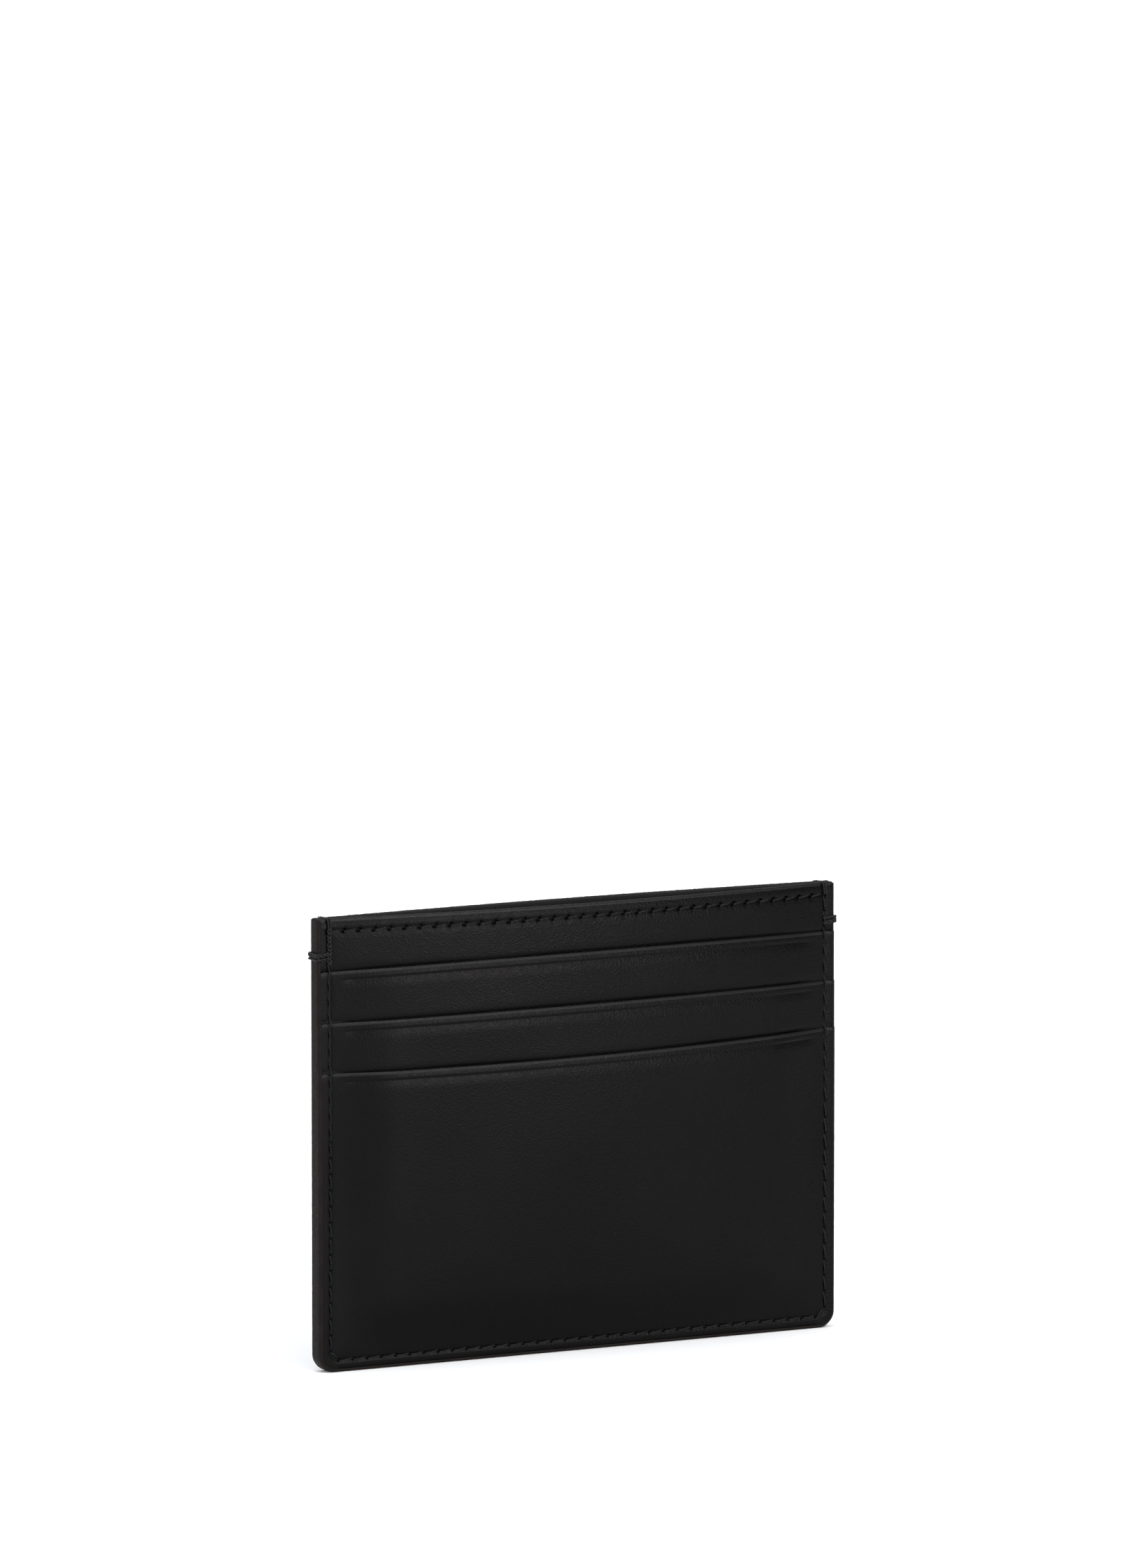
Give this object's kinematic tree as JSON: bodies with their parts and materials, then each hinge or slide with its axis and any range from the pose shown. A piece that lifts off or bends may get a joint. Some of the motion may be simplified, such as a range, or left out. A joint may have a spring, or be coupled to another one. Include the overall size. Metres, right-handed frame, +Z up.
{
  "type": "card holder",
  "caption": "Slim sewn leather card holder with stepped card slots on the front and an open-top centre pocket, painted edges and bar-tacked sides.",
  "frame": {"origin": "middle of the bottom edge, in the plane where the front and back halves meet", "axes": "+X along the width to the right, +Y out of the plain back (the slotted front looks to -Y), +Z up towards the pocket openings"},
  "size_m": [0.1008, 0.0101, 0.0784],
  "materials": {
    "leather_front": "smooth black calf leather, fine natural grain, satin",
    "leather_back": "smooth black calf leather, fine natural grain, satin",
    "edge_paint": "domed black edge paint, satin",
    "thread": "waxed twisted polyester thread, black",
    "lining": "fine black twill lining",
    "board": "bonded leather fibre board, matte"
  },
  "bodies": {
    "root": {"front_panel": "leather_front", "pocket_top": "leather_front", "pocket_middle": "leather_front", "pocket_bottom": "leather_front", "back_panel": "leather_back", "front_stiffener": "board", "back_stiffener": "board", "front_lining": "lining", "back_lining": "lining", "pocket_top_drop": "lining", "pocket_middle_drop": "lining", "edge_coat_sides": "edge_paint", "edge_coat_front_top": "edge_paint", "edge_coat_back_top": "edge_paint", "edge_coat_slot_top": "edge_paint", "edge_coat_slot_middle": "edge_paint", "edge_coat_slot_bottom": "edge_paint", "seam_perimeter_front": "thread", "seam_perimeter_back": "thread", "seam_top_front": "thread", "seam_top_back": "thread", "seam_pocket_top": "thread", "seam_pocket_middle": "thread", "bartack_left": "thread", "bartack_right": "thread", "corner_wrap_left": "thread", "corner_wrap_right": "thread"}
  },
  "joints": []
}
